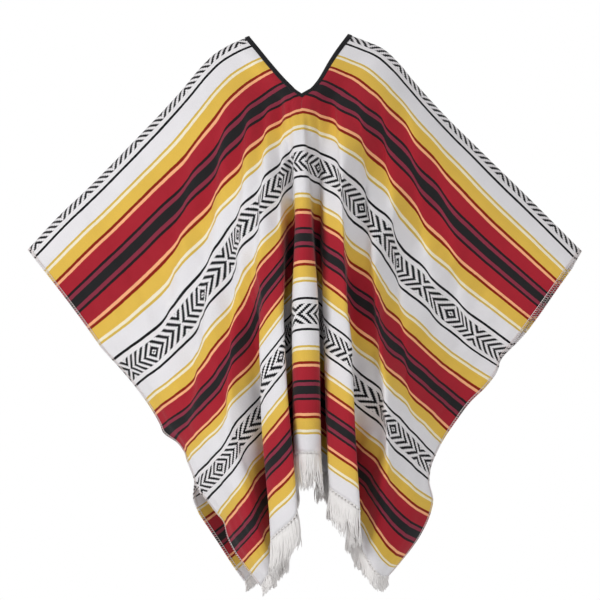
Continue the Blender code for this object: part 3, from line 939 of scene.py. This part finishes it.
def cloth_relief(tree, u, v, fibre):
    """Warp ribs with the weft's picks over and under them, and loose fibre."""
    rib_turn = add(tree, MATH, (u, 2 * math.pi / WARP), operation="MULTIPLY")
    rib = add(tree, MATH, (rib_turn,), operation="SINE")
    pick_turn = add(tree, MATH, (v, 2 * math.pi / WEFT), operation="MULTIPLY")
    pick = add(tree, MATH, (pick_turn,), operation="SINE")
    weave = add(tree, MATH, (rib, pick), operation="MULTIPLY")
    ribbed = add(tree, MATH, (rib, 0.35, fibre), operation="MULTIPLY_ADD")
    height = add(tree, MATH, (weave, 0.5, ribbed), operation="MULTIPLY_ADD")
    return add(tree, BUMP, {"Strength": 0.35, "Distance": 0.0004, "Height": height})


def falsa_cloth():
    """Falsa cloth: cotton and acrylic yarn in a weft-faced weave, so the colours lie in clean
    bands across the warp, with a faint rib, a soft nap and no shine."""
    material, tree, uv, apart = mapped_material("falsa_cloth", "cloth")
    u = add(tree, MATH, (apart[0], 1000.0), operation="MULTIPLY")
    v = add(tree, MATH, (apart[1], 1000.0), operation="MULTIPLY")
    t = place_in_repeat(tree, uv, v)
    colours = {0: woven_pattern(tree, u, v, t), 6: stripe_colours(tree, t),
               7: linear(PATTERN_BLACK)}
    chart = add(tree, MIX, colours, data_type="RGBA").outputs[2]
    streaks = add(tree, "ShaderNodeMapping", {"Vector": uv, "Scale": (420.0, 900.0, 1.0)})
    fibre = add(tree, NOISE, {"Vector": streaks, "Scale": 1.0, "Detail": 2.0})
    shader = add(tree, "ShaderNodeBsdfPrincipled", {
        "Base Color": unevenly_dyed(tree, uv, fibre, chart), "Roughness": 0.92, "IOR": 1.45,
        "Specular IOR Level": 0.18, "Sheen Weight": 0.12, "Sheen Roughness": 0.5,
        "Normal": cloth_relief(tree, u, v, fibre)})
    add(tree, "ShaderNodeOutputMaterial", {"Surface": shader})
    return material


def twisted_yarn(name, colour, dark, turns):
    """Spun cotton yarn: two plies twisted together, turns times in a metre, so a fine slanting
    rib and a soft halo. Its colour has a random grain, with painted shade in the grooves between
    the plies and a painted highlight on their crests."""
    material, tree, uv, apart = mapped_material(name, "yarn")
    slanted = add(tree, MATH, (apart[0], turns, apart[1]), operation="MULTIPLY_ADD")
    turned = add(tree, MATH, (slanted, 4 * math.pi), operation="MULTIPLY")
    ply = add(tree, MATH, (turned,), operation="SINE")
    grain = add(tree, NOISE, {"Vector": uv, "Scale": 90.0, "Detail": 3.0})
    share = add(tree, MATH, (grain, 0.9, 0.05), operation="MULTIPLY_ADD")
    # The twist's sine paints the grooves between plies darker and their crests lighter, as
    # painted shade and highlight; the grain is the yarn's own uneven tone
    ply_shade_and_grain = add(tree, MATH, (ply, 0.12, share), operation="MULTIPLY_ADD")
    tint = add(tree, MIX, {0: ply_shade_and_grain, 6: linear(dark), 7: linear(colour)},
               data_type="RGBA").outputs[2]
    relief = add(tree, MATH, (ply, grain), operation="ADD")
    bump = add(tree, BUMP, {"Strength": 0.5, "Distance": 0.0004, "Height": relief})
    shader = add(tree, "ShaderNodeBsdfPrincipled", {
        "Base Color": tint, "Roughness": 0.9, "IOR": 1.45, "Specular IOR Level": 0.2,
        "Sheen Weight": 0.15, "Normal": bump})
    add(tree, "ShaderNodeOutputMaterial", {"Surface": shader})
    return material


def twill_tape():
    """Black cotton twill tape: fine diagonal ribs, matt, with a little dust in them."""
    material, tree, uv, apart = mapped_material("twill_tape", "tape")
    across = add(tree, MATH, (apart[1], 2 * math.pi * TWILL_ROUND), operation="MULTIPLY")
    slanted = add(tree, MATH, (apart[0], 2 * math.pi * TWILL_ALONG, across),
                  operation="MULTIPLY_ADD")
    rib = add(tree, MATH, (slanted,), operation="SINE")
    grain = add(tree, NOISE, {"Vector": uv, "Scale": 60.0, "Detail": 3.0})
    tint = add(tree, MIX, {0: grain, 6: linear("#0E0E11"), 7: linear("#222226")},
               data_type="RGBA").outputs[2]
    relief = add(tree, MATH, (rib, grain), operation="ADD")
    bump = add(tree, BUMP, {"Strength": 0.4, "Distance": 0.0003, "Height": relief})
    shader = add(tree, "ShaderNodeBsdfPrincipled", {
        "Base Color": tint, "Roughness": 0.8, "IOR": 1.45, "Specular IOR Level": 0.25,
        "Sheen Weight": 0.1, "Normal": bump})
    add(tree, "ShaderNodeOutputMaterial", {"Surface": shader})
    return material


def painted_floor():
    """Matt white emulsion paint: no gloss, so the floor shows only soft shadows."""
    material = bpy.data.materials.new("painted_floor")
    tree = empty_tree(material)
    uv = add(tree, "ShaderNodeTexCoord").outputs["Object"]
    roller = add(tree, NOISE, {"Vector": uv, "Scale": 40.0, "Detail": 2.0})
    bump = add(tree, BUMP, {"Strength": 0.05, "Distance": 0.001, "Height": roller})
    shader = add(tree, "ShaderNodeBsdfPrincipled", {
        "Base Color": linear("#F7F7F7"), "Roughness": 0.9, "Specular IOR Level": 0.2,
        "Normal": bump})
    add(tree, "ShaderNodeOutputMaterial", {"Surface": shader})
    return material


# The studio

MM_PER_PIXEL = 1.95
PICTURE = 600
CENTRE_PIXEL = (298.6, 34.4)  # where the origin is in the picture
CAMERA_AWAY = 14.0
CALIBRATED_DEPTH = -0.10      # the plane that the scale holds on: the front of the cloth
FLOOR_BELOW = 0.50
FLOOR_HALF = 8.0
WALL_GLOW = 1.0               # the white walls, level with the garment
ROOM_GLOW = 0.32              # the rest of the room
GLOW_FADE = (0.05, 0.14)      # from the one to the other: the sine of how steep a look is
AIM = (0, 0, -0.5)            # the middle of the garment
LIGHTS = (
    # name, place, width and height, power
    ("key", (-3.3, -3.0, 1.5), (1.5, 1.5), 112),
    ("fill", (2.2, -4.0, 0.4), (2.4, 2.4), 32),
    ("back", (3.0, 3.2, 1.5), (1.8, 1.8), 110),
)


def add_camera():
    data = bpy.data.cameras.new("camera")
    data.sensor_width = 36.0
    across = MM_PER_PIXEL * PICTURE / 1000
    data.lens = data.sensor_width * CAMERA_AWAY / across
    data.clip_end = 60.0
    camera = new_object("camera", data)
    x = (PICTURE / 2 - CENTRE_PIXEL[0]) * MM_PER_PIXEL / 1000
    z = -(PICTURE / 2 - CENTRE_PIXEL[1]) * MM_PER_PIXEL / 1000
    camera.location = (x, CALIBRATED_DEPTH - CAMERA_AWAY, z)
    camera.rotation_euler = (math.pi / 2, 0, 0)
    bpy.context.scene.camera = camera


def add_light(name, place, size, power):
    data = bpy.data.lights.new(name, "AREA")
    data.shape = "RECTANGLE"
    data.size, data.size_y = size
    data.energy = power
    lamp = new_object(name, data)
    lamp.location = place
    lamp.rotation_euler = (Vector(AIM) - Vector(place)).to_track_quat("-Z", "Y").to_euler()


def add_world():
    """A white room: its walls glow at the garment's height, and it is dimmer above and below."""
    world = bpy.data.worlds.new("studio")
    tree = empty_tree(world)
    way = add(tree, "ShaderNodeTexCoord").outputs["Generated"]
    height = add(tree, "ShaderNodeSeparateXYZ", (way,)).outputs[2]
    level = add(tree, MATH, (height,), operation="ABSOLUTE")
    glow = add(tree, "ShaderNodeMapRange", (level, *GLOW_FADE, WALL_GLOW, ROOM_GLOW))
    background = add(tree, "ShaderNodeBackground", {"Color": (1, 1, 1, 1), "Strength": glow})
    add(tree, "ShaderNodeOutputWorld", {"Surface": background})
    bpy.context.scene.world = world


def add_studio():
    """A white floor, a white room and three soft lights, the strongest from the upper left."""
    add_world()
    bpy.context.scene.view_settings.view_transform = "Standard"
    z = cad_box[0][2] - FLOOR_BELOW
    mesh = bpy.data.meshes.new("studio_floor")
    corners = [(x * FLOOR_HALF, y * FLOOR_HALF, z)
               for x, y in ((-1, -1), (1, -1), (1, 1), (-1, 1))]
    mesh.from_pydata(corners, [], [(0, 1, 2, 3)])
    mesh.materials.append(painted_floor())
    new_object("studio_floor", mesh)
    for light in LIGHTS:
        add_light(*light)


cloth = falsa_cloth()
yarn = twisted_yarn("cotton_yarn", "#FCFAF9", "#E8E4E2", 160.0)
thread = twisted_yarn("overlock_thread", "#F4EAE8", "#DCCFCC", 300.0)
black_thread = twisted_yarn("tape_thread", "#2A2A2E", "#0A0A0C", 400.0)

front = striped_panel("front_cloth", "front_panel", False, cloth)
rear = striped_panel("back_cloth", "back_panel", True, cloth)
tape = neck_tape(twill_tape())
front_fringe = knotted_fringe("front_knots", "front_fringe", False, yarn)
back_fringe = knotted_fringe("back_knots", "back_fringe", True, yarn)
front_edges = overlock("front_overlock", False, thread)
back_edges = overlock("back_overlock", True, thread)
stitches = tape_stitches(black_thread)

add_camera()
add_studio()
